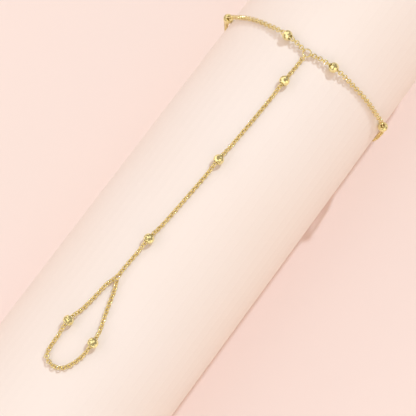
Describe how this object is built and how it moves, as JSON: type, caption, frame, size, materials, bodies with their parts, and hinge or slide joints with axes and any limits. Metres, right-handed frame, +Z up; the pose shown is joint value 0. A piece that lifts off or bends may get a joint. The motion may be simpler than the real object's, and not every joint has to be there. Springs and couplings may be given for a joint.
{
  "type": "hand chain on a display roll",
  "caption": "Fine gold station chain with a wrist loop, a strand along the hand and a finger loop, laid out on a plain pale roll.",
  "frame": {"origin": "on the resting surface, under the middle of the display roll", "axes": "+X along the roll towards the wrist loop, +Z up, +Y to the left when looking along +X"},
  "size_m": [0.1706, 0.0542, 0.0543],
  "materials": {
    "gold": "polished gold plate",
    "bead_gold": "bright-cut polished gold plate",
    "roll": "smooth matt pale cream pink"
  },
  "bodies": {
    "root": {"display_roll": "roll", "wrist_ring": "gold", "finger_ring": "gold", "clasp": "gold", "wrist_chain_left": "gold", "wrist_chain_right": "gold", "hand_chain": "gold", "finger_chain": "gold", "wrist_bead_left_1": "bead_gold", "wrist_bead_left_2": "bead_gold", "wrist_bead_left_3": "bead_gold", "wrist_bead_right_1": "bead_gold", "wrist_bead_right_2": "bead_gold", "wrist_bead_right_3": "bead_gold", "hand_bead_1": "bead_gold", "hand_bead_2": "bead_gold", "hand_bead_3": "bead_gold", "finger_bead_1": "bead_gold", "finger_bead_2": "bead_gold"}
  },
  "joints": []
}
